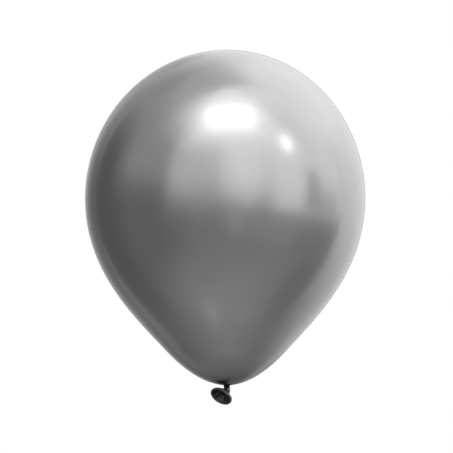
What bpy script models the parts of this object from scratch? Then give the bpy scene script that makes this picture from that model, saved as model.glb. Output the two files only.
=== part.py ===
"""A round chrome latex balloon, blown up and closed with an overhand knot.

It floats upright with its knot down. Metres, +Z up, front towards -Y. The origin is the centre of the
gas that fills the envelope, where the air holds the balloon up.
"""

import math

import bmesh
import bpy
from mathutils import Vector

MM = 0.001

# Envelope, from its belly (the widest section) up to the crown and down to the throat
BELLY_RADIUS = 150.0 * MM
CROWN_HEIGHT = 159.2 * MM
THROAT_DEPTH = 199.3 * MM
BELLY_PULL = 78.9 * MM  # how far the flank follows the belly's upright tangent
HIP_RADIUS = 65.7 * MM  # where the straight flank turns in under the balloon
HIP_DEPTH = 161.7 * MM
HIP_ANGLE = math.radians(47.8)  # the flank's slope at the hip, below level
HIP_PULL_ABOVE = 44.1 * MM
HIP_PULL_BELOW = 49.0 * MM
THROAT_RADIUS = 3.0 * MM
THROAT_ANGLE = math.radians(12.0)
THROAT_PULL = 4.7 * MM
THROAT_FILLET = 1.0 * MM
COLLAR_LENGTH = 1.0 * MM  # the film's short upright end round the neck
FILM = 0.3 * MM  # the latex as it is before it is stretched
SIDEWAYS_BOW = 1.9 * MM  # the belly sits this far to the left of crown and throat

# Overhand knot: a strand that runs down, up and down again round an upright ring, its wrap outside
KNOT_CENTRE = Vector((0.3, 0.0, -4.9)) * MM  # from the throat
WRAP_RADIUS = 2.3 * MM  # the wrap's centre line about the knot's axis
CORE_RADIUS = 0.72 * MM  # the two inner passes' centre lines
WRAP_RISE = 1.8 * MM  # half the height that each pass climbs
WRAP_THICKNESS = 0.92 * MM  # the strand's radius in the wrap
CORE_THICKNESS = 0.6 * MM  # and where it is squeezed inside
TURNS_PER_PASS = 3 / 2  # in half turns, which makes the knot an overhand one
WRAP_FRONT = math.radians(180.0)  # turns the wrap's middle to the front
STRAND_START = 0.45  # radians round the ring at which the strand comes in, and leaves

# Neck
NECK_RADIUS = 2.35 * MM  # inside the collar
NECK_TOP = 1.6 * MM  # above the throat, inside the envelope
SEAT = 0.3 * MM  # clearance between pieces that touch

# Tail: the sleeve that opens out past the knot, and the rolled lip round its mouth
MOUTH_CENTRE = Vector((-5.4, -7.5, -12.6)) * MM  # from the throat
MOUTH_TILT = math.radians(50.0)  # between the way the mouth faces and straight forward
MOUTH_ROLL = math.radians(30.4)  # its long side's fall to the right
LIP_LONG = 11.2 * MM  # half the oval of the lip's centre line
LIP_SHORT = 9.1 * MM
LIP_RADIUS = 1.1 * MM
TAIL_WALL = 0.5 * MM
TAIL_BEND = 7.0 * MM  # how far the tail runs straight behind its mouth
PLEATS = 7

BELLY_SEGMENTS = 48
TAIL_SEGMENTS = 42
NECK_SEGMENTS = 24


def clear_scene():
    """Takes away whatever the file opened with."""
    for obj in list(bpy.data.objects):
        bpy.data.objects.remove(obj)


def latex(name, hex_colour, metallic, roughness):
    """A Principled material of latex rubber, its colour given as sRGB hex."""
    channels = [int(hex_colour[i : i + 2], 16) / 255 for i in (0, 2, 4)]
    linear = [c / 12.92 if c <= 0.04045 else ((c + 0.055) / 1.055) ** 2.4 for c in channels]
    made = bpy.data.materials.new(name)
    made.use_nodes = True
    shader = made.node_tree.nodes["Principled BSDF"]
    shader.inputs["Base Color"].default_value = (*linear, 1.0)
    shader.inputs["Metallic"].default_value = metallic
    shader.inputs["Roughness"].default_value = roughness
    made.diffuse_color = (*linear, 1.0)
    return made


def bezier(start, pull_start, pull_end, end, steps):
    """Points along a cubic from just after its start to its end."""
    points = []
    for i in range(1, steps + 1):
        t = i / steps
        u = 1 - t
        points.append(u**3 * start + 3 * u * u * t * pull_start + 3 * u * t * t * pull_end + t**3 * end)
    return points


def envelope_profile():
    """(radius, height) of the envelope's outside from crown to collar, heights from the belly."""
    crown_steps, flank_steps, hip_steps, fillet_steps = 9, 7, 6, 3
    belly = Vector((BELLY_RADIUS, 0.0))
    hip = Vector((HIP_RADIUS, -HIP_DEPTH))
    flank_way = Vector((-math.cos(HIP_ANGLE), -math.sin(HIP_ANGLE)))
    throat_way = Vector((-math.cos(THROAT_ANGLE), -math.sin(THROAT_ANGLE)))
    throat = Vector((THROAT_RADIUS + THROAT_FILLET, -THROAT_DEPTH))
    points = []
    for i in range(crown_steps + 1):
        angle = math.pi / 2 * (1 - i / crown_steps)
        points.append(Vector((BELLY_RADIUS * math.cos(angle), CROWN_HEIGHT * math.sin(angle))))
    points[0].x = 0.0
    down = Vector((0.0, -BELLY_PULL))
    points += bezier(belly, belly + down, hip - flank_way * HIP_PULL_ABOVE, hip, flank_steps)
    points += bezier(
        hip, hip + flank_way * HIP_PULL_BELOW, throat - throat_way * THROAT_PULL, throat, hip_steps
    )
    for i in range(1, fillet_steps + 1):
        angle = math.pi / 2 * i / fillet_steps
        across = THROAT_FILLET * (1 - math.sin(angle))
        drop = THROAT_FILLET * (1 - math.cos(angle))
        points.append(Vector((THROAT_RADIUS + across, -THROAT_DEPTH - drop)))
    points.append(Vector((THROAT_RADIUS, -THROAT_DEPTH - THROAT_FILLET - COLLAR_LENGTH)))
    return points


def gas_height(profile):
    """Height above the belly of the centre of the gas, from the profile's slices."""
    volume = moment = 0.0
    for above, below in zip(profile, profile[1:]):
        a, b = above.x, below.x
        height = above.y - below.y
        slice_volume = height * (a * a + a * b + b * b) / 3
        middle = below.y + height * (3 * a * a + 2 * a * b + b * b) / (4 * (a * a + a * b + b * b) + 1e-12)
        volume += slice_volume
        moment += slice_volume * middle
    return moment / volume


def bow(height):
    """The centre line's X at a height over the belly: crown and throat right, belly left."""
    middle = (CROWN_HEIGHT - THROAT_DEPTH) / 2
    half = (CROWN_HEIGHT + THROAT_DEPTH) / 2
    share = (height - middle) / half
    return SIDEWAYS_BOW * (share * share - 1 / 3)


def finish(obj, collection, material):
    """Files a made object under the balloon's collection, with its material and smooth shading."""
    for held in list(obj.users_collection):
        held.objects.unlink(obj)
    collection.objects.link(obj)
    obj.data.materials.clear()
    obj.data.materials.append(material)
    return obj


def as_mesh(obj, name):
    """A mesh object made from another object as its modifiers leave it; the other is removed."""
    bpy.context.view_layer.update()
    graph = bpy.context.evaluated_depsgraph_get()
    mesh = bpy.data.meshes.new_from_object(obj.evaluated_get(graph))
    made = bpy.data.objects.new(name, mesh)
    made.matrix_world = obj.matrix_world.copy()
    bpy.data.objects.remove(obj)
    mesh.name = name
    return made


def build_envelope(collection, material, belly_z):
    """The stretched latex skin: the profile turned, bowed a little sideways, and given its film."""
    profile = envelope_profile()
    mesh = bpy.data.meshes.new("envelope_profile")
    edges = [(i, i + 1) for i in range(len(profile) - 1)]
    mesh.from_pydata([(p.x, 0.0, p.y) for p in profile], edges, [])
    outline = bpy.data.objects.new("envelope_profile", mesh)
    collection.objects.link(outline)
    turn = outline.modifiers.new("turn", "SCREW")
    turn.axis = "Z"
    turn.angle = 2 * math.pi
    turn.steps = turn.render_steps = BELLY_SEGMENTS
    turn.use_merge_vertices = True
    turn.merge_threshold = 1e-6
    envelope = as_mesh(outline, "envelope")
    for vertex in envelope.data.vertices:
        vertex.co.x += bow(vertex.co.z)
    envelope.data.shade_smooth()
    envelope.location.z = belly_z
    skin = envelope.modifiers.new("film", "SOLIDIFY")
    skin.thickness = FILM
    skin.offset = -1.0
    return finish(envelope, collection, material)


def tube(name, points, radii, collection, material, sides_setting=2):
    """A closed tube along points, with its own radius at each."""
    data = bpy.data.curves.new(name, "CURVE")
    data.dimensions = "3D"
    data.bevel_depth = 1 * MM
    data.bevel_resolution = sides_setting
    data.use_fill_caps = True
    spline = data.splines.new("POLY")
    spline.points.add(len(points) - 1)
    for place, point, radius in zip(spline.points, points, radii):
        place.co = (*point, 1.0)
        place.radius = radius / (1 * MM)
    obj = bpy.data.objects.new(name, data)
    collection.objects.link(obj)
    return finish(obj, collection, material)


def knot_point(throat, along):
    """(point, thickness) of the knot's strand, along in radians round the ring that it winds on."""
    middle = (WRAP_RADIUS + CORE_RADIUS) / 2
    outwards = -math.cos(along)
    reach = middle + (WRAP_RADIUS - CORE_RADIUS) / 2 * outwards
    angle = WRAP_FRONT - TURNS_PER_PASS * along
    place = Vector((reach * math.cos(angle), reach * math.sin(angle), -WRAP_RISE * math.sin(along)))
    thickness = CORE_THICKNESS + (WRAP_THICKNESS - CORE_THICKNESS) * (1 + outwards) / 2
    return throat + KNOT_CENTRE + place, thickness


def knot_ends(throat):
    """The middles of the strand's two cut faces: under the neck, and where the tail starts."""
    head = knot_point(throat, STRAND_START - math.pi / 2)[0]
    foot = knot_point(throat, 5 * math.pi / 2 - STRAND_START)[0]
    head.z = throat.z + KNOT_CENTRE.z + WRAP_RISE + WRAP_THICKNESS
    away = (throat + MOUTH_CENTRE - mouth_axes()[0] * TAIL_BEND - foot).normalized()
    return head, foot + away * CORE_THICKNESS


def build_neck(collection, material, throat):
    """The gathered neck, from inside the collar down to the knot."""
    foot = knot_ends(throat)[0].z + SEAT - throat.z
    # height from the throat, share of the neck's radius
    profile = (
        (NECK_TOP, 0.88),
        (NECK_TOP - 0.3 * MM, 1.00),
        (0.7 * foot, 1.00),
        (0.9 * foot, 0.96),
        (foot, 0.85),
    )
    mesh = bpy.data.meshes.new("neck_profile")
    points = [(0.0, 0.0, profile[0][0])]
    points += [(NECK_RADIUS * share, 0.0, height) for height, share in profile]
    points += [(0.0, 0.0, profile[-1][0])]
    mesh.from_pydata(points, [(i, i + 1) for i in range(len(points) - 1)], [])
    outline = bpy.data.objects.new("neck", mesh)
    outline.location = throat
    turn = outline.modifiers.new("turn", "SCREW")
    turn.steps = turn.render_steps = NECK_SEGMENTS
    turn.use_merge_vertices = True
    turn.merge_threshold = 1e-6
    collection.objects.link(outline)
    return finish(outline, collection, material)


def build_knot(collection, material, throat):
    """The overhand knot, one strand all the way."""
    steps = 48
    first, last = STRAND_START - math.pi / 2, 5 * math.pi / 2 - STRAND_START
    run = [knot_point(throat, first + (last - first) * i / steps) for i in range(steps + 1)]
    head, foot = knot_ends(throat)
    points = [head, *(point for point, thickness in run), foot]
    radii = [run[0][1], *(thickness for point, thickness in run), run[-1][1]]
    return tube("knot", points, radii, collection, material)


def mouth_axes():
    """(the way the mouth faces, its long axis, its short axis)."""
    aside, down = math.sin(MOUTH_ROLL), math.cos(MOUTH_ROLL)
    facing = Vector(
        (-math.sin(MOUTH_TILT) * aside, -math.cos(MOUTH_TILT), -math.sin(MOUTH_TILT) * down)
    )
    long_axis = Vector((down, 0.0, -aside))
    return facing, long_axis, facing.cross(long_axis)


def tail_axis(throat, share):
    """(point, direction) on the tail's centre line, share 0 at the knot and 1 at the mouth."""
    end = throat + MOUTH_CENTRE
    bend = end - mouth_axes()[0] * TAIL_BEND
    foot = knot_ends(throat)[1]
    start = foot + (bend - foot).normalized() * SEAT
    point = start.lerp(bend, share).lerp(bend.lerp(end, share), share)
    way = (bend - start).lerp(end - bend, share)
    return point, way.normalized()


def tail_ring(throat, share, long_radius, short_radius, pleat):
    """One ring of the tail: an oval square to the centre line, with its pleats."""
    point, way = tail_axis(throat, share)
    long_axis = mouth_axes()[1]
    long_axis = (long_axis - way * long_axis.dot(way)).normalized()
    short_axis = way.cross(long_axis)
    ring = []
    for i in range(TAIL_SEGMENTS):
        angle = 2 * math.pi * i / TAIL_SEGMENTS
        swell = 1 + pleat * math.cos(PLEATS * angle)
        ring.append(
            point
            + long_axis * (long_radius * swell * math.cos(angle))
            + short_axis * (short_radius * swell * math.sin(angle))
        )
    return ring


def build_tail(collection, material, throat):
    """The sleeve past the knot: a thin root that opens like a trumpet, hollow from its mouth."""
    # share of the way to the mouth, half the long and short width, depth of the pleats
    outside = (
        (0.00, 0.70, 0.70, 0.00),
        (0.15, 0.85, 0.85, 0.04),
        (0.30, 1.25, 1.20, 0.10),
        (0.45, 2.20, 2.00, 0.16),
        (0.60, 3.70, 3.30, 0.14),
        (0.75, 5.80, 5.00, 0.09),
        (0.88, 8.20, 6.80, 0.04),
        (0.96, 9.95, 7.85, 0.01),
    )
    inside_from = 3
    wall = TAIL_WALL / MM
    inside = [(s + 0.03, a - wall, b - wall, p) for s, a, b, p in outside[inside_from:]]
    mesh = bmesh.new()
    rings = []
    for share, long_radius, short_radius, pleat in [*outside, *reversed(inside)]:
        ring = tail_ring(throat, share, long_radius * MM, short_radius * MM, pleat)
        rings.append([mesh.verts.new(point) for point in ring])
    for near, far in zip(rings, rings[1:]):
        for i in range(TAIL_SEGMENTS):
            j = (i + 1) % TAIL_SEGMENTS
            mesh.faces.new((near[i], near[j], far[j], far[i]))
    mesh.faces.new(rings[0])
    mesh.faces.new(rings[-1])
    bmesh.ops.triangulate(mesh, faces=[f for f in mesh.faces if len(f.verts) > 4])
    bmesh.ops.recalc_face_normals(mesh, faces=mesh.faces)
    data = bpy.data.meshes.new("tail")
    mesh.to_mesh(data)
    mesh.free()
    data.shade_smooth()
    tail = bpy.data.objects.new("tail", data)
    collection.objects.link(tail)
    return finish(tail, collection, material)


def build_lip(collection, material, throat):
    """The rolled lip, an oval ring of rubber round the mouth."""
    long_axis, short_axis = mouth_axes()[1:]
    steps = 32
    points = []
    for i in range(steps):
        angle = 2 * math.pi * i / steps
        points.append(
            throat
            + MOUTH_CENTRE
            + long_axis * (LIP_LONG * math.cos(angle))
            + short_axis * (LIP_SHORT * math.sin(angle))
        )
    lip = tube("lip", points, [LIP_RADIUS] * steps, collection, material, sides_setting=3)
    lip.data.splines[0].use_cyclic_u = True
    return lip


def main():
    """Builds the balloon round the centre of its gas."""
    clear_scene()
    collection = bpy.data.collections.new("chrome_balloon")
    bpy.context.scene.collection.children.link(collection)
    stretched = latex("chrome_latex", "C4C5C7", metallic=1.0, roughness=0.28)
    slack = latex("slack_latex", "3A3A3C", metallic=0.6, roughness=0.45)

    belly_z = -gas_height(envelope_profile())
    throat = Vector((bow(-THROAT_DEPTH), 0.0, belly_z - THROAT_DEPTH - THROAT_FILLET))
    build_envelope(collection, stretched, belly_z)
    build_neck(collection, slack, throat)
    build_knot(collection, slack, throat)
    build_tail(collection, slack, throat)
    build_lip(collection, slack, throat)


main()
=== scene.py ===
"""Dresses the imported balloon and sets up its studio.

The crown of the CAD's envelope gives the balloon's place, and everything is laid out down from it. The
film, the gathered neck, the overhand knot, the pleated tail and the rolled lip are modelled again here
as soft latex, each over its CAD node. The balloon mirrors a room of light cards, which the camera
doesn't see: behind the balloon it sees plain white.
"""

import logging
import math
from collections.abc import Sequence
from dataclasses import dataclass
from enum import Enum

import bmesh
import bpy
from mathutils import Matrix, Vector


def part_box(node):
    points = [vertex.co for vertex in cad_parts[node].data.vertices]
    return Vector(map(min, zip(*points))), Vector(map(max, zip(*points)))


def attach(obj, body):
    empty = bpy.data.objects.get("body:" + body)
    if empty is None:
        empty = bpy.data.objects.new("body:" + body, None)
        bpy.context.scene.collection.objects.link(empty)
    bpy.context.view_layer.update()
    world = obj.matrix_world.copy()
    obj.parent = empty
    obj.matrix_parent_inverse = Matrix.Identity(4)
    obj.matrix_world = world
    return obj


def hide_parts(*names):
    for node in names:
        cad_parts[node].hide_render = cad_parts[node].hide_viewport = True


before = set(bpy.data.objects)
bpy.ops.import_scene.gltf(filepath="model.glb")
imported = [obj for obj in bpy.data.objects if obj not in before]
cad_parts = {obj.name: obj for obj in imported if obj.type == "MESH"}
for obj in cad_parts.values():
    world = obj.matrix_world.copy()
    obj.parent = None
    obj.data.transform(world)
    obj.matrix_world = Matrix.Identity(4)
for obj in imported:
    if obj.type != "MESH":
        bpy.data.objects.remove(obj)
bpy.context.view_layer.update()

MM = 0.001
PHOTO_SIDE = 453  # pixels
PHOTO_SCALE = 1.0715 * MM  # what one of the photo's pixels covers at the balloon
BODY = "root"
MERGE_DISTANCE = 0.001 * MM
NOISE_BAND = {"From Min": 0.3, "From Max": 0.7}  # the noise values that a range is spread over

log = logging.getLogger("chrome_balloon")


class Slot(Enum):
    """The record's material slots."""

    CHROME = "chrome_latex"
    SLACK = "slack_latex"


class CardKind(Enum):
    """How a light card of the studio is bounded."""

    PANEL = "a flat rectangle that faces the balloon"
    WALL = "a stretch of the room, from one bearing and elevation to another"
    OVAL = "a round or oval lamp or patch of light"


def srgb(hex_colour: str) -> tuple[float, float, float, float]:
    """Turns an sRGB hex colour to linear.

    Args:
        hex_colour: Six hex digits.

    Returns:
        Linear red, green and blue, and an alpha of 1.
    """
    channels = [int(hex_colour[i : i + 2], 16) / 255 for i in (0, 2, 4)]
    red, green, blue = (c / 12.92 if c <= 0.04045 else ((c + 0.055) / 1.055) ** 2.4 for c in channels)
    return red, green, blue, 1.0


def add_node(
    tree: bpy.types.NodeTree, kind: str, inputs: dict[str | int, object] | None = None, **settings: object
) -> bpy.types.Node:
    """Adds a node with its settings and links.

    Args:
        tree: The node tree it goes in.
        kind: The node's type, such as ShaderNodeMath.
        inputs: A value, or another node's output, for each named or numbered socket.
        **settings: The node's own properties.

    Returns:
        The node.
    """
    node = tree.nodes.new(kind)
    for name, value in settings.items():
        setattr(node, name, value)
    for socket, value in (inputs or {}).items():
        if isinstance(value, bpy.types.NodeSocket):
            tree.links.new(value, node.inputs[socket])
        else:
            node.inputs[socket].default_value = value
    return node


def bezier(start: Vector, pull_start: Vector, pull_end: Vector, end: Vector, steps: int) -> list[Vector]:
    """Points along a cubic.

    Args:
        start: Where it starts; this point is left out.
        pull_start: The handle of the start.
        pull_end: The handle of the end.
        end: Where it ends.
        steps: How many points.

    Returns:
        The points, the end among them.
    """
    points = []
    for i in range(1, steps + 1):
        t = i / steps
        u = 1 - t
        points.append(u**3 * start + 3 * u * u * t * pull_start + 3 * u * t * t * pull_end + t**3 * end)
    return points


def ripple(angle: float, counts: Sequence[int], seed: float) -> float:
    """An uneven wave round a circle, between about -1 and 1.

    Args:
        angle: Where on the circle, in radians.
        counts: How many waves each of its parts has, the strongest first.
        seed: Shifts the parts against each other.

    Returns:
        The wave's height.
    """
    height = total = 0.0
    for order, count in enumerate(counts):
        share = 1 / (1 + order)
        height += share * math.cos(count * angle + seed * (order + 1) ** 2)
        total += share
    return height / total


def hump(angle: float, middle: float, width: float) -> float:
    """A smooth hump of height 1 on a circle.

    Args:
        angle: Where on the circle, in radians.
        middle: Where the hump is.
        width: How wide it is.

    Returns:
        Its height there.
    """
    away = (angle - middle + math.pi) % (2 * math.pi) - math.pi
    return math.exp(-((away / width) ** 2))


def smooth_step(share: float) -> float:
    """Eases from 0 to 1 as share does, and stays there on both sides."""
    held = min(max(share, 0.0), 1.0)
    return held * held * (3 - 2 * held)


def bearings(count: int) -> list[float]:
    """Evenly spaced angles round a circle, in radians."""
    return [2 * math.pi * j / count for j in range(count)]


def spin_round(mesh: bmesh.types.BMesh, steps: int) -> None:
    """Spins everything in a mesh once round the Z axis.

    Args:
        mesh: The mesh, with only the line that is spun.
        steps: How many steps the round has.
    """
    bmesh.ops.spin(
        mesh,
        geom=[*mesh.verts, *mesh.edges],
        cent=(0, 0, 0),
        axis=(0, 0, 1),
        angle=2 * math.pi,
        steps=steps,
        use_merge=True,
    )
    bmesh.ops.remove_doubles(mesh, verts=mesh.verts, dist=MERGE_DISTANCE)


def loft(mesh: bmesh.types.BMesh, rings: Sequence[Sequence[Vector]]) -> list[list[bmesh.types.BMVert]]:
    """Draws a skin through rings of points, by extruding the first one again and again.

    Args:
        mesh: The mesh to draw in.
        rings: Closed rings, each with the same number of points.

    Returns:
        Each ring's vertices in order.
    """
    made = bmesh.ops.create_circle(mesh, cap_ends=False, radius=1.0, segments=len(rings[0]))
    ring = list(made["verts"])
    for vertex, point in zip(ring, rings[0]):
        vertex.co = point
    skin = [ring]
    for points in rings[1:]:
        rim = set(ring)
        edges = {edge for vertex in ring for edge in vertex.link_edges if edge.other_vert(vertex) in rim}
        grown = bmesh.ops.extrude_edge_only(mesh, edges=list(edges))
        fresh = {part for part in grown["geom"] if isinstance(part, bmesh.types.BMVert)}
        ring = [
            next(edge.other_vert(vertex) for edge in vertex.link_edges if edge.other_vert(vertex) in fresh)
            for vertex in ring
        ]
        for vertex, point in zip(ring, points):
            vertex.co = point
        skin.append(ring)
    return skin


def close_ring(mesh: bmesh.types.BMesh, ring: Sequence[bmesh.types.BMVert]) -> None:
    """Closes a skin's open end with a flat face.

    Args:
        mesh: The mesh.
        ring: The end's vertices in order.
    """
    bmesh.ops.contextual_create(mesh, geom=list(ring))


def apply_modifiers(piece: bpy.types.Object) -> None:
    """Turns a piece's modifiers into its mesh.

    Args:
        piece: The piece.
    """
    graph = bpy.context.evaluated_depsgraph_get()
    made = bpy.data.meshes.new_from_object(piece.evaluated_get(graph))
    piece.modifiers.clear()
    piece.data = made


@dataclass(frozen=True)
class ChromeLatex:
    """Natural rubber latex with aluminium flake, dipped on a smooth former and stretched by the gas.

    The flake lies flat in the film, so it reflects like brushed metal; the rubber over it has a clear,
    wet gloss, which mirrors the room sharply where it is seen at a slant.
    """

    film: str = "C9C9CA"
    gathered: str = "2A2A2B"
    gather_reach: float = 17.0 * MM  # the film pales over this height above the throat
    tip_size: float = 0.9 * MM  # the spot at the crown where the film stays thick
    tip_depth: float = 0.22  # its depth of colour, 1 as the gathered film
    roughness: float = 0.25
    roughness_spread: float = 0.015
    gloss: float = 0.05
    slack_reach: float = 4.0 * MM  # this close to the throat it is slack, and as satin as the sleeve
    slack_roughness: float = 0.20  # added to the roughness there
    slack_gloss: float = 0.2  # the share of the gloss that is left there
    flake_size: float = 1.4 * MM  # real flake is 0.02 mm, too fine to show, so it is drawn this coarse
    flake_depth: tuple[float, float] = (-0.02, 0.02)  # what it adds to the depth of colour, least and most
    cloud_size: float = 45.0 * MM  # uneven dipping
    cloud_depth: tuple[float, float] = (-0.02, 0.05)
    peel_size: float = 9.0 * MM  # the faint ripple of the film
    peel_depth: float = 0.05 * MM
    peel_strength: float = 0.25

    def material(self, crown: float, throat: float) -> bpy.types.Material:
        """Makes the material.

        Args:
            crown: The crown's height, where the film stays thick.
            throat: The throat's height, towards which it gets thick and dark.

        Returns:
            The material.
        """
        made = bpy.data.materials.new("latex_dipped_chrome_flake")
        made.use_nodes = True
        tree = made.node_tree
        shader = tree.nodes["Principled BSDF"]
        shader.inputs["Metallic"].default_value = 1.0
        shader.inputs["Coat Roughness"].default_value = self.gloss
        place = add_node(tree, "ShaderNodeTexCoord").outputs["Object"]

        height = add_node(tree, "ShaderNodeSeparateXYZ", {0: place}).outputs["Z"]
        drop = add_node(
            tree,
            "ShaderNodeMath",
            {0: height, 1: -1 / self.gather_reach, 2: throat / self.gather_reach},
            operation="MULTIPLY_ADD",
        )
        thick = add_node(tree, "ShaderNodeMath", {0: drop.outputs[0]}, operation="EXPONENT", use_clamp=True)
        slack = add_node(
            tree,
            "ShaderNodeMath",
            {0: thick.outputs[0], 1: self.gather_reach / self.slack_reach},
            operation="POWER",
        )
        coat = add_node(
            tree,
            "ShaderNodeMapRange",
            {"Value": slack.outputs[0], "To Min": 1.0, "To Max": self.slack_gloss},
        )
        tree.links.new(coat.outputs["Result"], shader.inputs["Coat Weight"])
        below = crown - self.tip_size
        tip = add_node(
            tree,
            "ShaderNodeMapRange",
            {"Value": height, "From Min": below, "From Max": crown, "To Max": self.tip_depth},
            interpolation_type="SMOOTHSTEP",
        )
        cloud = add_node(
            tree,
            "ShaderNodeTexNoise",
            {"Vector": place, "Scale": 1 / self.cloud_size, "Detail": 3.0, "Roughness": 0.5},
        )
        flake = add_node(
            tree,
            "ShaderNodeTexNoise",
            {"Vector": place, "Scale": 1 / self.flake_size, "Detail": 2.0, "Roughness": 0.6},
        )
        depth = add_node(
            tree,
            "ShaderNodeMath",
            {0: thick.outputs[0], 1: tip.outputs["Result"]},
            operation="MAXIMUM",
        )
        for noise, (low, high) in ((flake, self.flake_depth), (cloud, self.cloud_depth)):
            part = add_node(
                tree,
                "ShaderNodeMapRange",
                {"Value": noise.outputs["Fac"], **NOISE_BAND, "To Min": low, "To Max": high},
            )
            depth = add_node(
                tree,
                "ShaderNodeMath",
                {0: depth.outputs[0], 1: part.outputs["Result"]},
                operation="ADD",
            )
        colour = add_node(
            tree,
            "ShaderNodeMix",
            {"Factor": depth.outputs[0], 6: srgb(self.film), 7: srgb(self.gathered)},
            data_type="RGBA",
        )
        tree.links.new(colour.outputs[2], shader.inputs["Base Color"])
        rough = add_node(
            tree,
            "ShaderNodeMapRange",
            {
                "Value": cloud.outputs["Fac"],
                **NOISE_BAND,
                "To Min": self.roughness - self.roughness_spread,
                "To Max": self.roughness + self.roughness_spread,
            },
        )
        rough = add_node(
            tree,
            "ShaderNodeMath",
            {0: slack.outputs[0], 1: self.slack_roughness, 2: rough.outputs["Result"]},
            operation="MULTIPLY_ADD",
        )
        tree.links.new(rough.outputs[0], shader.inputs["Roughness"])
        peel = add_node(
            tree,
            "ShaderNodeTexNoise",
            {"Vector": place, "Scale": 1 / self.peel_size, "Detail": 2.0, "Roughness": 0.45},
        )
        bump = add_node(
            tree,
            "ShaderNodeBump",
            {"Strength": self.peel_strength, "Distance": self.peel_depth, "Height": peel.outputs["Fac"]},
        )
        tree.links.new(bump.outputs["Normal"], shader.inputs["Normal"])
        tree.links.new(bump.outputs["Normal"], shader.inputs["Coat Normal"])
        return made


@dataclass(frozen=True)
class SlackLatex:
    """The same latex where it isn't stretched: thick and dark, with a satin skin and fine wrinkles."""

    name: str
    # its tone; the pieces get lighter and darker copies of one tone, which is painted light and shade
    colour: str
    worn: str
    roughness: float = 0.36
    smoother: float = 0.05  # taken off the roughness where it is smoothest
    rougher: float = 0.08  # added to it where it is roughest
    edge: str = "D8D8D8"  # the tint of what it mirrors at a slant
    gloss_share: float = 0.2
    gloss: float = 0.3
    mottle_size: float = 3.0 * MM
    worn_band: tuple[float, float] = (0.35, 0.75)  # the mottle over which it turns to the worn colour
    most_worn: float = 0.8
    wrinkle_size: float = 0.8 * MM
    wrinkle_depth: float = 0.06 * MM
    wrinkle_strength: float = 0.5

    def material(self) -> bpy.types.Material:
        """Makes the material.

        Returns:
            The material.
        """
        made = bpy.data.materials.new(self.name)
        made.use_nodes = True
        tree = made.node_tree
        shader = tree.nodes["Principled BSDF"]
        shader.inputs["Metallic"].default_value = 1.0
        shader.inputs["Specular Tint"].default_value = srgb(self.edge)
        shader.inputs["Coat Weight"].default_value = self.gloss_share
        shader.inputs["Coat Roughness"].default_value = self.gloss
        place = add_node(tree, "ShaderNodeTexCoord").outputs["Object"]
        mottle = add_node(
            tree,
            "ShaderNodeTexNoise",
            {"Vector": place, "Scale": 1 / self.mottle_size, "Detail": 4.0, "Roughness": 0.6},
        )
        low, high = self.worn_band
        share = add_node(
            tree,
            "ShaderNodeMapRange",
            {"Value": mottle.outputs["Fac"], "From Min": low, "From Max": high, "To Max": self.most_worn},
        )
        colour = add_node(
            tree,
            "ShaderNodeMix",
            {"Factor": share.outputs["Result"], 6: srgb(self.colour), 7: srgb(self.worn)},
            data_type="RGBA",
        )
        tree.links.new(colour.outputs[2], shader.inputs["Base Color"])
        rough = add_node(
            tree,
            "ShaderNodeMapRange",
            {
                "Value": mottle.outputs["Fac"],
                **NOISE_BAND,
                "To Min": self.roughness - self.smoother,
                "To Max": self.roughness + self.rougher,
            },
        )
        tree.links.new(rough.outputs["Result"], shader.inputs["Roughness"])
        wrinkle = add_node(
            tree,
            "ShaderNodeTexNoise",
            {"Vector": place, "Scale": 1 / self.wrinkle_size, "Detail": 3.0, "Roughness": 0.55},
        )
        bump = add_node(
            tree,
            "ShaderNodeBump",
            {
                "Strength": self.wrinkle_strength,
                "Distance": self.wrinkle_depth,
                "Height": wrinkle.outputs["Fac"],
            },
        )
        tree.links.new(bump.outputs["Normal"], shader.inputs["Normal"])
        return made


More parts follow.
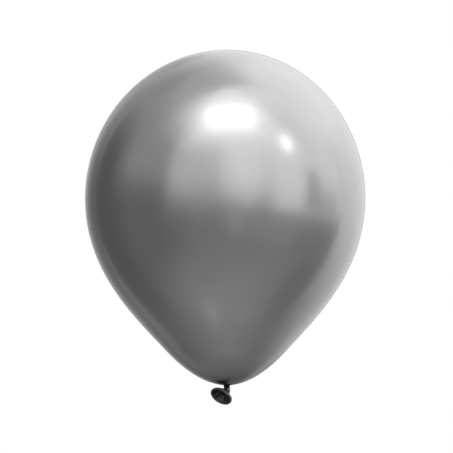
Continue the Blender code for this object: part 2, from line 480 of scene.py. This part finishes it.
@dataclass(frozen=True)
class Outline:
    """The envelope's turned outline, from its belly (the widest section).

    It is the CAD's, but for the throat, which hangs 0.5 mm lower and meets the neck more nearly level.
    """

    crown_z: float  # the crown's height in the frame
    belly_radius: float = 150.0 * MM
    crown_height: float = 159.2 * MM
    throat_depth: float = 199.8 * MM
    belly_pull: float = 78.9 * MM
    hip_radius: float = 65.7 * MM
    hip_depth: float = 161.7 * MM
    hip_angle: float = math.radians(47.8)
    hip_pull_above: float = 44.1 * MM
    hip_pull_below: float = 49.0 * MM
    throat_radius: float = 3.0 * MM
    throat_angle: float = math.radians(10.0)
    throat_pull: float = 6.0 * MM
    fillet: float = 1.0 * MM
    collar: float = 1.0 * MM
    sideways_bow: float = 1.9 * MM

    @property
    def belly_z(self) -> float:
        """The belly's height in the frame."""
        return self.crown_z - self.crown_height

    @property
    def throat(self) -> Vector:
        """The middle of the throat, where the collar starts."""
        drop = self.throat_depth + self.fillet
        return Vector((self.bow(-self.throat_depth), 0.0, self.belly_z - drop))

    def bow(self, height: float) -> float:
        """The centre line's X at a height over the belly.

        Args:
            height: Metres over the belly.

        Returns:
            X in metres: crown and throat to the right, belly to the left.
        """
        middle = (self.crown_height - self.throat_depth) / 2
        half = (self.crown_height + self.throat_depth) / 2
        share = (height - middle) / half
        return self.sideways_bow * (share * share - 1 / 3)

    def points(self) -> list[Vector]:
        """Traces the outside from crown to collar.

        Returns:
            Radius and height of each point, heights from the belly.
        """
        crown_steps, flank_steps, hip_steps, fillet_steps, collar_steps = 40, 34, 40, 6, 3
        belly = Vector((self.belly_radius, 0.0))
        hip = Vector((self.hip_radius, -self.hip_depth))
        flank_way = Vector((-math.cos(self.hip_angle), -math.sin(self.hip_angle)))
        throat_way = Vector((-math.cos(self.throat_angle), -math.sin(self.throat_angle)))
        throat = Vector((self.throat_radius + self.fillet, -self.throat_depth))
        points = []
        for i in range(crown_steps + 1):
            angle = math.pi / 2 * (1 - i / crown_steps)
            across, up = self.belly_radius * math.cos(angle), self.crown_height * math.sin(angle)
            points.append(Vector((across, up)))
        points[0].x = 0.0
        down = Vector((0.0, -self.belly_pull))
        points += bezier(belly, belly + down, hip - flank_way * self.hip_pull_above, hip, flank_steps)
        below = hip + flank_way * self.hip_pull_below
        points += bezier(hip, below, throat - throat_way * self.throat_pull, throat, hip_steps)
        for i in range(1, fillet_steps + 1):
            angle = math.pi / 2 * i / fillet_steps
            across = self.fillet * (1 - math.sin(angle))
            drop = self.fillet * (1 - math.cos(angle))
            points.append(Vector((self.throat_radius + across, -self.throat_depth - drop)))
        for i in range(1, collar_steps + 1):
            drop = self.fillet + self.collar * i / collar_steps
            points.append(Vector((self.throat_radius, -self.throat_depth - drop)))
        return points


@dataclass(frozen=True)
class Gather:
    """The creases that gather the film into the neck, the same in the collar and in the sleeve."""

    depth: float = 0.28 * MM
    reach: float = 6.0 * MM  # they fade out over this distance from the collar
    counts: tuple[int, ...] = (13, 21, 34)
    seed: float = 1.7

    def height(self, angle: float, away: float = 0.0) -> float:
        """How far the skin stands out of its smooth shape.

        Args:
            angle: Bearing round the neck.
            away: Distance from the collar.

        Returns:
            Metres, outwards.
        """
        return self.depth * math.exp(-away / self.reach) * ripple(angle, self.counts, self.seed)


@dataclass(frozen=True)
class Mouth:
    """Where the tail's mouth is, from the throat, and which way it faces."""

    centre: Vector = Vector((-6.15, -7.5, -10.6)) * MM
    tilt: float = math.radians(46.0)
    roll: float = math.radians(33.0)
    long_half: float = 11.0 * MM
    short_half: float = 9.6 * MM
    bulges: tuple[tuple[float, float, float], ...] = ((105, 40, 0.09), (195, 28, 0.02), (35, 30, 0.05))

    def stretch(self, angle: float) -> float:
        """How far the soft rim stands out of its oval: bulges as middle, width (degrees) and share."""
        return 1 + sum(share * hump(angle, *map(math.radians, at)) for *at, share in self.bulges)

    @property
    def facing(self) -> Vector:
        """The way the mouth faces."""
        aside = math.sin(self.tilt)
        return Vector((-aside * math.sin(self.roll), -math.cos(self.tilt), -aside * math.cos(self.roll)))

    @property
    def long_axis(self) -> Vector:
        """The way its long side runs."""
        return Vector((math.cos(self.roll), 0.0, -math.sin(self.roll)))


class Piece:
    """A piece of the balloon that stands for one CAD node."""

    name: str
    node: str
    slot: Slot

    def shape(self) -> bmesh.types.BMesh:
        """Draws the piece's skin, and returns it."""
        raise NotImplementedError

    def dress(self, piece: bpy.types.Object) -> None:
        """Gives the piece its modifiers, and its material."""
        raise NotImplementedError

    def make(self) -> bpy.types.Object:
        """Makes the piece and ties it to the frame.

        Returns:
            The finished piece.
        """
        mesh = self.shape()
        data = bpy.data.meshes.new(self.name)
        mesh.to_mesh(data)
        mesh.free()
        data.shade_smooth()
        piece = bpy.data.objects.new(self.name, data)
        bpy.context.scene.collection.objects.link(piece)
        self.dress(piece)
        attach(piece, BODY)
        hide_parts(self.node)
        return piece


@dataclass
class Envelope(Piece):
    """The stretched film, with the short creases that gather it into the neck."""

    outline: Outline
    gather: Gather
    finish: ChromeLatex
    film: float = 0.3 * MM
    creased_below: float = 0.8  # of the throat's depth
    segments: int = 200
    name: str = "envelope_film"
    node: str = "envelope"
    slot: Slot = Slot.CHROME

    def shape(self) -> bmesh.types.BMesh:
        """Turns the outline, then bows and creases it.

        Returns:
            The mesh.
        """
        mesh = bmesh.new()
        line = [mesh.verts.new((point.x, 0.0, point.y)) for point in self.outline.points()]
        for pair in zip(line, line[1:]):
            mesh.edges.new(pair)
        spin_round(mesh, self.segments)
        bmesh.ops.recalc_face_normals(mesh, faces=mesh.faces)
        mesh.normal_update()
        lowest = -self.outline.throat_depth * self.creased_below
        moves = []
        for vertex in mesh.verts:
            away = max(math.hypot(vertex.co.x, vertex.co.y) - self.outline.throat_radius, 0.0)
            out = 0.0
            if vertex.co.z < lowest:
                out = self.gather.height(math.atan2(vertex.co.y, vertex.co.x), away)
            moves.append(vertex.normal * out + Vector((self.outline.bow(vertex.co.z), 0.0, 0.0)))
        for vertex, move in zip(mesh.verts, moves):
            vertex.co += move
        bmesh.ops.translate(mesh, verts=mesh.verts, vec=(0.0, 0.0, self.outline.belly_z))
        return mesh

    def dress(self, piece: bpy.types.Object) -> None:
        """Gives the film its thickness and its chrome.

        Args:
            piece: The piece.
        """
        skin = piece.modifiers.new("film", "SOLIDIFY")
        skin.thickness = self.film
        skin.offset = -1.0
        piece.data.materials.append(self.finish.material(self.outline.crown_z, self.outline.throat.z))


@dataclass(frozen=True)
class Strand:
    """The knot's one strand, which runs down, up and down again round an upright ring."""

    throat: Vector
    centre: Vector = Vector((0.3, 0.0, -4.4)) * MM
    wrap_radius: float = 2.3 * MM
    core_radius: float = 0.72 * MM
    rise: float = 1.7 * MM
    turns_per_pass: float = 3 / 2
    front: float = math.radians(180.0)
    start: float = 0.45

    def at(self, along: float) -> tuple[Vector, float]:
        """A point of the strand.

        Args:
            along: Radians round the ring that the strand winds on.

        Returns:
            The point, and how far out it is, from 0 in the core to 1 in the wrap.
        """
        out = (1 - math.cos(along)) / 2
        reach = self.core_radius + (self.wrap_radius - self.core_radius) * out
        angle = self.front - self.turns_per_pass * along
        place = Vector((reach * math.cos(angle), reach * math.sin(angle), -self.rise * math.sin(along)))
        return self.throat + self.centre + place, out

    @property
    def span(self) -> tuple[float, float]:
        """Where the strand comes in and where it leaves, in radians round its ring."""
        return self.start - math.pi / 2, 5 * math.pi / 2 - self.start


@dataclass
class Neck(Piece):
    """The gathered sleeve from inside the collar down into the knot, its pleats twisted by the tying."""

    outline: Outline
    strand: Strand
    gather: Gather
    finish: SlackLatex
    top: float = 1.8 * MM  # above the throat
    foot: float = -3.8 * MM  # inside the knot
    collar_end: float = -1.05 * MM
    inner_radius: float = 2.62 * MM  # inside the collar
    bulge_radius: float = 3.45 * MM  # squeezed out between the collar and the knot
    bulge_at: float = -1.7 * MM
    foot_radius: float = 2.6 * MM
    twist: float = math.radians(70.0)
    segments: int = 160
    rings: int = 36
    name: str = "neck_gathered"
    node: str = "neck"
    slot: Slot = Slot.SLACK

    def girth(self, height: float) -> float:
        """How wide the sleeve is.

        Args:
            height: Metres over the throat.

        Returns:
            Its radius there.
        """
        if height > self.bulge_at:
            share = (self.collar_end - height) / (self.collar_end - self.bulge_at)
            return self.inner_radius + (self.bulge_radius - self.inner_radius) * smooth_step(share)
        share = (self.bulge_at - height) / (self.bulge_at - self.foot)
        return self.bulge_radius + (self.foot_radius - self.bulge_radius) * smooth_step(share)

    def shape(self) -> bmesh.types.BMesh:
        """Draws the sleeve's rings from the top down.

        Returns:
            The mesh.
        """
        mesh = bmesh.new()
        rings = []
        for i in range(self.rings + 1):
            height = self.top + (self.foot - self.top) * i / self.rings
            below = smooth_step((self.collar_end - height) / (self.collar_end - self.foot))
            lean = self.strand.centre.x * below
            ring = []
            for angle in bearings(self.segments):
                reach = self.girth(height) + self.gather.height(angle + self.twist * below)
                aside = Vector((lean + reach * math.cos(angle), reach * math.sin(angle), height))
                ring.append(self.outline.throat + aside)
            rings.append(ring)
        skin = loft(mesh, rings)
        close_ring(mesh, skin[0])
        close_ring(mesh, skin[-1])
        bmesh.ops.recalc_face_normals(mesh, faces=mesh.faces)
        return mesh

    def dress(self, piece: bpy.types.Object) -> None:
        """Gives the sleeve its latex."""
        piece.data.materials.append(self.finish.material())


@dataclass
class Knot(Piece):
    """The overhand knot, its soft strands pressed into each other."""

    strand: Strand
    finish: SlackLatex
    wrap_thickness: float = 1.45 * MM
    core_thickness: float = 1.10 * MM
    spread: float = 0.55  # how much taller than thick the strand is pressed where it wraps
    steps: int = 180
    segments: int = 40
    ridges: tuple[int, ...] = (6, 10)
    ridge_depth: float = 0.13
    seed: float = 0.9
    voxel: float = 0.08 * MM
    easing: int = 5
    name: str = "knot_overhand"
    node: str = "knot"
    slot: Slot = Slot.SLACK

    def section(self, point: Vector, out: float, side: Vector, other: Vector) -> list[Vector]:
        """The strand's pleated outline at one of its points.

        Args:
            point: The middle.
            out: 0 in the core and 1 in the wrap.
            side: A way across the strand.
            other: The way across it that is square to side.

        Returns:
            The outline's points.
        """
        radius = self.core_thickness + (self.wrap_thickness - self.core_thickness) * out
        ring = []
        for angle in bearings(self.segments):
            reach = radius * (1 + self.ridge_depth * ripple(angle, self.ridges, self.seed))
            away = (side * math.cos(angle) + other * math.sin(angle)) * reach
            away.z *= 1 + self.spread * out
            ring.append(point + away)
        return ring

    def shape(self) -> bmesh.types.BMesh:
        """Draws the strand from end to end, without twist.

        Returns:
            The mesh.
        """
        mesh = bmesh.new()
        first, last = self.strand.span
        run = [self.strand.at(first + (last - first) * i / self.steps) for i in range(self.steps + 1)]
        way = (run[1][0] - run[0][0]).normalized()
        side = way.orthogonal().normalized()
        rings = []
        for i, (point, out) in enumerate(run):
            ahead = (run[min(i + 1, self.steps)][0] - run[max(i - 1, 0)][0]).normalized()
            side = way.rotation_difference(ahead) @ side
            side = (side - ahead * side.dot(ahead)).normalized()
            way = ahead
            rings.append(self.section(point, out, side, way.cross(side)))
        skin = loft(mesh, rings)
        close_ring(mesh, skin[0])
        close_ring(mesh, skin[-1])
        bmesh.ops.recalc_face_normals(mesh, faces=mesh.faces)
        return mesh

    def dress(self, piece: bpy.types.Object) -> None:
        """Presses the strands into one soft lump and gives it its latex.

        Args:
            piece: The piece.
        """
        press = piece.modifiers.new("press", "REMESH")
        press.mode = "VOXEL"
        press.voxel_size = self.voxel
        press.use_smooth_shade = True
        ease = piece.modifiers.new("ease", "SMOOTH")
        ease.iterations = self.easing
        apply_modifiers(piece)
        piece.data.materials.append(self.finish.material())


@dataclass
class Tail(Piece):
    """The sleeve past the knot, which opens out like a trumpet in soft pleats."""

    throat: Vector
    strand: Strand
    mouth: Mouth
    finish: SlackLatex
    wall: float = 0.42 * MM
    root_radius: float = 1.3 * MM
    bend: float = 7.0 * MM
    stem: float = 0.08  # the share of its length that stays gathered
    flare: float = 1.05  # how late the trumpet opens
    pleats: tuple[int, ...] = (8, 5, 13)
    pleat_depth: float = 0.14
    pleat_end: float = 1.02  # they die out just short of the mouth
    pleat_fullness: float = 0.8  # under 1, they are deep for more of their length
    pleat_fade: int = 6  # how late they flatten towards the mouth
    seed: float = 2.1
    shut_wall: float = 0.37  # the folds leave the wall here, just past the knot
    shut_middle: float = 0.33  # and meet here, gathered shut
    shut_share: float = 0.97  # how far in the folds are drawn before the last hole is closed
    shut_fold: float = 0.22 * MM  # how high they stand
    shut_rings: int = 12
    segments: int = 180
    rings: int = 50
    name: str = "tail_pleated"
    node: str = "tail"
    slot: Slot = Slot.SLACK

    def axis(self, share: float) -> tuple[Vector, Vector]:
        """The tail's centre line.

        Args:
            share: 0 at the knot and 1 at the mouth.

        Returns:
            The point and the direction there.
        """
        start = self.strand.at(self.strand.span[1])[0]
        end = self.throat + self.mouth.centre
        bend = end - self.mouth.facing * self.bend
        point = start.lerp(bend, share).lerp(bend.lerp(end, share), share)
        return point, (bend - start).lerp(end - bend, share).normalized()

    def ring(self, share: float, drawn_in: float = 0.0) -> list[Vector]:
        """One ring of the pleated sleeve.

        Args:
            share: 0 at the knot and 1 at the mouth.
            drawn_in: How far it is gathered in, from 0 at the sleeve's wall to 1 in the middle.

        Returns:
            The ring's points in order.
        """
        point, way = self.axis(share)
        long_axis = self.mouth.long_axis
        long_axis = (long_axis - way * long_axis.dot(way)).normalized()
        short_axis = way.cross(long_axis)
        opened = (max(share - self.stem, 0.0) / (1 - self.stem)) ** self.flare
        long_half = self.root_radius + (self.mouth.long_half - self.root_radius) * opened
        short_half = self.root_radius + (self.mouth.short_half - self.root_radius) * opened
        full = math.sin(math.pi * min(share * self.pleat_end, 1.0)) ** self.pleat_fullness
        depth = self.pleat_depth * full * (1 - share**self.pleat_fade)
        fold = self.shut_fold * math.sin(math.pi * drawn_in)
        ring = []
        for angle in bearings(self.segments):
            pleat = ripple(angle, self.pleats, self.seed)
            swell = (1 + depth * pleat) * (1 - drawn_in)
            swell *= 1 + (self.mouth.stretch(angle) - 1) * opened
            ring.append(
                point
                + way * (fold * pleat)
                + long_axis * (long_half * swell * math.cos(angle))
                + short_axis * (short_half * swell * math.sin(angle))
            )
        return ring

    def shape(self) -> bmesh.types.BMesh:
        """Draws the trumpet's rings from the knot to the mouth, and the folds that gather it shut.

        Returns:
            The mesh.
        """
        mesh = bmesh.new()
        loft(mesh, [self.ring(i / self.rings) for i in range(self.rings + 1)])
        shut = []
        for i in range(self.shut_rings + 1):
            drawn_in = self.shut_share * i / self.shut_rings
            share = self.shut_wall + (self.shut_middle - self.shut_wall) * smooth_step(drawn_in)
            shut.append(self.ring(share, drawn_in))
        close_ring(mesh, loft(mesh, shut)[-1])
        bmesh.ops.recalc_face_normals(mesh, faces=mesh.faces)
        return mesh

    def dress(self, piece: bpy.types.Object) -> None:
        """Gives the sleeve its wall and its latex.

        Args:
            piece: The piece.
        """
        wall = piece.modifiers.new("wall", "SOLIDIFY")
        wall.thickness = self.wall
        wall.offset = 0.0
        piece.data.materials.append(self.finish.material())


@dataclass
class Lip(Piece):
    """The rolled lip: the film wound up on itself round the mouth, with a groove where the roll ends."""

    throat: Vector
    mouth: Mouth
    finish: SlackLatex
    radius: float = 1.1 * MM
    thick_side: float = 0.6  # how much thicker the roll is where it was rolled up most
    thick_at: float = math.radians(50.0)
    thick_width: float = math.radians(90.0)
    groove: float = 0.16
    groove_at: float = math.radians(150.0)
    groove_width: float = math.radians(22.0)
    waviness: float = 0.10 * MM
    waves: tuple[int, ...] = (3, 5)
    seed: float = 0.6
    section: int = 28
    steps: int = 180
    name: str = "lip_rolled"
    node: str = "lip"
    slot: Slot = Slot.SLACK

    def shape(self) -> bmesh.types.BMesh:
        """Spins the roll's section round the mouth, then draws it out to the mouth's oval.

        Returns:
            The mesh.
        """
        mesh = bmesh.new()
        made = bmesh.ops.create_circle(mesh, cap_ends=False, radius=self.radius, segments=self.section)
        for vertex in made["verts"]:
            angle = math.atan2(vertex.co.y, vertex.co.x)
            flat = vertex.co * (1 - self.groove * hump(angle, self.groove_at, self.groove_width))
            vertex.co = Vector((self.mouth.long_half + flat.x, 0.0, flat.y))
        spin_round(mesh, self.steps)
        squeeze = self.mouth.short_half / self.mouth.long_half
        rim = self.mouth.long_half + self.radius
        for vertex in mesh.verts:
            angle = math.atan2(vertex.co.y, vertex.co.x)
            swell = 1 + self.thick_side * hump(angle, self.thick_at, self.thick_width)
            away = math.hypot(vertex.co.x, vertex.co.y)
            held = (rim - (rim - away) * swell) * self.mouth.stretch(angle)
            vertex.co.x *= held / away
            vertex.co.y *= squeeze * held / away
            vertex.co.z = vertex.co.z * swell + self.waviness * ripple(angle, self.waves, self.seed)
        facing, long_axis = self.mouth.facing, self.mouth.long_axis
        turn = Matrix((long_axis, facing.cross(long_axis), facing)).transposed()
        bmesh.ops.transform(mesh, matrix=turn.to_4x4(), verts=mesh.verts)
        bmesh.ops.translate(mesh, verts=mesh.verts, vec=self.throat + self.mouth.centre)
        bmesh.ops.recalc_face_normals(mesh, faces=mesh.faces)
        return mesh

    def dress(self, piece: bpy.types.Object) -> None:
        """Gives the roll its latex."""
        piece.data.materials.append(self.finish.material())


@dataclass(frozen=True)
class Card:
    """A soft-edged stretch of the studio, as the balloon mirrors it. Angles are in degrees.

    It hides what was hung before it. Bearing 0 is towards the camera, 90 to the right and 180 behind
    the balloon. A wall's bottom and top are elevations; other edges are measured from the card's middle.
    An oval's left softness goes all the way round it.
    """

    name: str
    kind: CardKind
    towards: tuple[float, float]  # bearing and elevation of its middle
    left: tuple[float, float]  # where the edge is, and how soft
    right: tuple[float, float]
    bottom: tuple[float, float]
    top: tuple[float, float]
    radiance: float  # against 1 for white paper in the picture

    def hang(
        self, tree: bpy.types.NodeTree, way: bpy.types.NodeSocket, behind: bpy.types.NodeSocket | float
    ) -> bpy.types.NodeSocket:
        """Hangs the card in front of those before it.

        Args:
            tree: The world's nodes.
            way: The direction that is looked in.
            behind: The brightness of the cards before it.

        Returns:
            The brightness with this card.
        """
        bearing, elevation = (math.radians(angle) for angle in self.towards)
        flat = Vector((math.sin(bearing), -math.cos(bearing), 0.0))
        right = Vector((math.cos(bearing), math.sin(bearing), 0.0))
        ahead = flat * math.cos(elevation) + Vector((0.0, 0.0, math.sin(elevation)))
        if self.kind is CardKind.WALL:
            axes = (right, flat, Vector((0.0, 0.0, 1.0)))
        else:
            axes = (right, ahead, right.cross(ahead))
        across, along, up = (
            add_node(tree, "ShaderNodeVectorMath", {0: way, 1: axis}, operation="DOT_PRODUCT").outputs[1]
            for axis in axes
        )
        aside = add_node(tree, "ShaderNodeMath", {0: across, 1: along}, operation="ARCTAN2").outputs[0]
        if self.kind is CardKind.WALL:
            lift = add_node(tree, "ShaderNodeMath", {0: up}, operation="ARCSINE").outputs[0]
        else:
            lift = add_node(tree, "ShaderNodeMath", {0: up, 1: along}, operation="ARCTAN2").outputs[0]
        covering = self.oval_cover if self.kind is CardKind.OVAL else self.cover
        cover = covering(tree, aside, lift)
        mixed = add_node(
            tree,
            "ShaderNodeMix",
            {"Factor": cover, 2: behind, 3: self.radiance},
            label=self.name,
            data_type="FLOAT",
        )
        return mixed.outputs[0]

    def cover(
        self, tree: bpy.types.NodeTree, aside: bpy.types.NodeSocket, lift: bpy.types.NodeSocket
    ) -> bpy.types.NodeSocket:
        """How much of the way is hidden by a card with four edges.

        Args:
            tree: The world's nodes.
            aside: Angle to the right of the card's middle.
            lift: Angle over its middle, or a wall's elevation.

        Returns:
            1 on the card, 0 beside it.
        """
        cover = None
        sides = ((aside, self.left, 1), (aside, self.right, -1))
        edges = (*sides, (lift, self.bottom, 1), (lift, self.top, -1))
        for angle, (edge, softness), inwards in edges:
            half = inwards * softness / 2
            first, last = math.radians(edge - half), math.radians(edge + half)
            fade = add_node(
                tree,
                "ShaderNodeMapRange",
                {"Value": angle, "From Min": first, "From Max": last},
                interpolation_type="SMOOTHSTEP",
            ).outputs["Result"]
            if cover is None:
                cover = fade
                continue
            both = add_node(tree, "ShaderNodeMath", {0: cover, 1: fade}, operation="MULTIPLY")
            cover = both.outputs[0]
        return cover

    def oval_cover(
        self, tree: bpy.types.NodeTree, aside: bpy.types.NodeSocket, lift: bpy.types.NodeSocket
    ) -> bpy.types.NodeSocket:
        """How much of the way is hidden by an oval card.

        Args:
            tree: The world's nodes.
            aside: Angle to the right of the card's middle.
            lift: Angle over its middle.

        Returns:
            1 on the card, 0 beside it.
        """
        (left, softness), (right, _), (bottom, _), (top, _) = self.left, self.right, self.bottom, self.top
        half_width, half_height = math.radians(right - left) / 2, math.radians(top - bottom) / 2
        middle = Vector((-(right + left) / (right - left), -(top + bottom) / (top - bottom), 0.0))
        place = add_node(tree, "ShaderNodeCombineXYZ", {0: aside, 1: lift}).outputs[0]
        scaled = add_node(
            tree,
            "ShaderNodeVectorMath",
            {0: place, 1: (1 / half_width, 1 / half_height, 0.0), 2: middle},
            operation="MULTIPLY_ADD",
        ).outputs[0]
        reach = add_node(tree, "ShaderNodeVectorMath", {0: scaled}, operation="LENGTH").outputs["Value"]
        half = math.radians(softness) / half_width / 2
        fade = add_node(
            tree,
            "ShaderNodeMapRange",
            {"Value": reach, "From Min": 1 + half, "From Max": 1 - half},
            interpolation_type="SMOOTHSTEP",
        )
        return fade.outputs["Result"]


WALL, PANEL, OVAL = CardKind.WALL, CardKind.PANEL, CardKind.OVAL


@dataclass
class Studio:
    """The room round the balloon: a pale sweep behind, windows and lamps in front, and a pale floor."""

    outline: Outline
    room: float = 0.25  # the radiance of everything that no card covers
    cards: tuple[Card, ...] = (
        Card("upper_room", WALL, (0, 0), (-181, 1), (181, 1), (45, 40), (140, 1), 0.52),
        Card("left_front", WALL, (-75, 0), (-60, 5), (30, 50), (8, 25), (50, 40), 0.355),
        Card("left_low", WALL, (-90, 0), (-44, 5), (50, 50), (-56, 44), (8, 25), 0.17),
        Card("front_left", WALL, (0, 0), (-48, 7), (0, 7), (2, 35), (140, 1), 0.67),
        Card("front_right", WALL, (0, 0), (-2, 8), (48, 8), (2, 40), (140, 1), 0.90),
        Card("window_pane", OVAL, (15, 20), (-14, 24), (14, 24), (-18, 24), (18, 24), 1.05),
        Card("side_window", WALL, (75, 0), (-35, 14), (39, 14), (-8, 14), (140, 1), 0.95),
        Card("side_sill", WALL, (88, 0), (-21, 6), (16, 6), (-10, 8), (3, 12), 0.55),
        Card("side_upper", WALL, (90, 0), (-40, 20), (25, 20), (45, 50), (140, 1), 0.65),
        Card("sweep", OVAL, (180, 0), (-69, 4), (47, 4), (-62, 4), (58, 4), 0.16),
        Card("sweep_high", WALL, (-160, 0), (-30, 30), (40, 6), (25, 50), (60, 6), 0.37),
        Card("sweep_low", WALL, (145, 0), (-34, 5), (32, 20), (-43, 30), (60, 30), 0.40),
        Card("sweep_lit", WALL, (145, 0), (-34, 5), (51, 50), (-12, 70), (66, 60), 0.95),
        Card("sweep_top", OVAL, (136, 45), (-34, 20), (26, 20), (-28, 20), (24, 20), 1.13),
        Card("sweep_glow", OVAL, (180, 22), (6, 10), (26, 10), (-18, 10), (17, 10), 0.44),
        Card("balloon_shadow", OVAL, (180, 0), (-12, 8), (6, 8), (-12, 8), (12, 8), 0.35),
        Card("left_wall", WALL, (-120, 0), (-13, 5), (20, 30), (-48, 50), (32, 30), 0.12),
        Card("ceiling", WALL, (20, 0), (-85, 50), (90, 40), (50, 40), (140, 1), 1.10),
        Card("front_top", WALL, (0, 0), (-39, 16), (60, 16), (42, 30), (110, 1), 1.30),
        Card("side_post", WALL, (77, 0), (-6, 6), (6, 6), (-4, 10), (15, 12), 0.40),
        Card("floor_glow", WALL, (0, 0), (-72, 60), (80, 70), (-110, 1), (-50, 46), 0.325),
        Card("floor_right", OVAL, (40, -22), (-25, 20), (25, 20), (-12, 20), (12, 20), 0.30),
        Card("floor_streak", WALL, (8, 0), (-5, 6), (5, 6), (-24, 10), (-2, 10), 0.38),
        Card("right_skirt", WALL, (100, 0), (-20, 20), (12, 8), (-62, 20), (-30, 30), 0.20),
        Card("floor_behind", WALL, (180, 0), (-6, 10), (6, 10), (-60, 20), (-9, 14), 0.18),
        Card("floor_shade", OVAL, (180, -45), (-16, 8), (16, 8), (-17, 12), (17, 12), 0.20),
        Card("floor_edge", OVAL, (165, -23), (-5, 4), (5, 4), (-6, 5), (6, 5), 0.28),
        Card("floor_patch", OVAL, (-45, -76), (-5, 5), (5, 5), (-5, 5), (5, 5), 0.45),
        Card("key_softbox", PANEL, (6, 62), (-17, 10), (18, 10), (-10, 10), (10, 10), 2.30),
        Card("spot_lamp", OVAL, (61, 35), (-5, 3), (5, 3), (-6, 3), (6, 3), 2.50),
    )
    floor_drop: float = 3.4  # below the balloon's middle, past a camera that looks up at it
    floor_radius: float = 24.0
    floor_segments: int = 96
    floor_colour: str = "F2F2F2"
    floor_roughness: float = 0.8
    sensor_width: float = 36.0  # millimetres
    camera_distance: float = 3.0
    view_centre: tuple[float, float] = (1.4, -27.9)  # from the belly's middle, in the photo's pixels

    @property
    def target(self) -> Vector:
        """The point that the camera looks at.

        Returns:
            A point in the frame.
        """
        across, up = self.view_centre
        aside = self.outline.bow(0.0) + across * PHOTO_SCALE
        return Vector((aside, 0.0, self.outline.belly_z + up * PHOTO_SCALE))

    def paint_world(self) -> None:
        """Makes the room that the balloon mirrors, and the white that the camera sees."""
        world = bpy.data.worlds.new("studio")
        world.use_nodes = True
        bpy.context.scene.world = world
        tree = world.node_tree
        tree.nodes.clear()
        way = add_node(tree, "ShaderNodeTexCoord").outputs["Generated"]
        light: bpy.types.NodeSocket | float = self.room
        for card in self.cards:
            light = card.hang(tree, way, light)
        room = add_node(tree, "ShaderNodeBackground", {"Color": light})
        white = add_node(tree, "ShaderNodeBackground", {"Color": (1.0, 1.0, 1.0, 1.0)})
        seen = add_node(tree, "ShaderNodeLightPath").outputs["Is Camera Ray"]
        both = add_node(tree, "ShaderNodeMixShader", {0: seen, 1: room.outputs[0], 2: white.outputs[0]})
        add_node(tree, "ShaderNodeOutputWorld", {"Surface": both.outputs[0]})

    def lay_floor(self) -> None:
        """Lays the pale floor, well below the balloon.

        Matt white vinyl scatters light evenly and shows no glint. It is kept out of the balloon's mirror
        image, where the floor cards stand for it.
        """
        mesh = bmesh.new()
        bmesh.ops.create_circle(mesh, cap_ends=True, radius=self.floor_radius, segments=self.floor_segments)
        bmesh.ops.translate(mesh, verts=mesh.verts, vec=(0.0, 0.0, -self.floor_drop))
        data = bpy.data.meshes.new("floor")
        mesh.to_mesh(data)
        mesh.free()
        floor = bpy.data.objects.new("floor", data)
        bpy.context.scene.collection.objects.link(floor)
        floor.visible_glossy = False
        made = bpy.data.materials.new("floor_matt_white_vinyl")
        made.use_nodes = True
        shader = made.node_tree.nodes["Principled BSDF"]
        shader.inputs["Base Color"].default_value = srgb(self.floor_colour)
        shader.inputs["Roughness"].default_value = self.floor_roughness
        data.materials.append(made)

    def place_camera(self) -> None:
        """Puts a level long lens in front, framed as the photo is."""
        lens = bpy.data.cameras.new("camera")
        lens.sensor_width = self.sensor_width
        lens.lens = lens.sensor_width * self.camera_distance / (PHOTO_SIDE * PHOTO_SCALE)
        camera = bpy.data.objects.new("camera", lens)
        camera.location = self.target + Vector((0.0, -self.camera_distance, 0.0))
        camera.rotation_euler = (math.pi / 2, 0.0, 0.0)
        bpy.context.scene.collection.objects.link(camera)
        bpy.context.scene.camera = camera

    def make(self) -> None:
        """Sets up the whole studio."""
        self.paint_world()
        self.lay_floor()
        self.place_camera()
        bpy.context.scene.view_settings.view_transform = "Standard"


def main() -> None:
    """Builds the balloon's pieces in order, then the studio."""
    logging.basicConfig(level=logging.INFO, format="%(message)s")
    outline = Outline(crown_z=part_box("envelope")[1].z)
    mouth = Mouth()
    throat = outline.throat
    strand = Strand(throat)
    gather = Gather()
    # Lit and shaded copies of one slack latex: the tied neck and knot are painted lighter for the light on
    # them (painted light), the rolled lip is painted lighter for the glint on its roll (painted highlight),
    # and the tail is painted darker for the shade in its mouth (painted shade).
    tied = SlackLatex("latex_tied_painted_light", "767678", "8A8A8C")
    sleeve = SlackLatex("latex_sleeve_painted_shade", "424244", "525254")
    rolled = SlackLatex("latex_rolled_painted_highlight", "6E6E70", "808082", roughness=0.5)
    pieces: Sequence[Piece] = (
        Envelope(outline, gather, ChromeLatex()),
        Neck(outline, strand, gather, tied),
        Knot(strand, tied),
        Tail(throat, strand, mouth, sleeve),
        Lip(throat, mouth, rolled),
    )
    for piece in pieces:
        made = piece.make()
        log.info("%s: %d faces", made.name, len(made.data.polygons))
    Studio(outline).make()


if __name__ == "__main__":
    main()
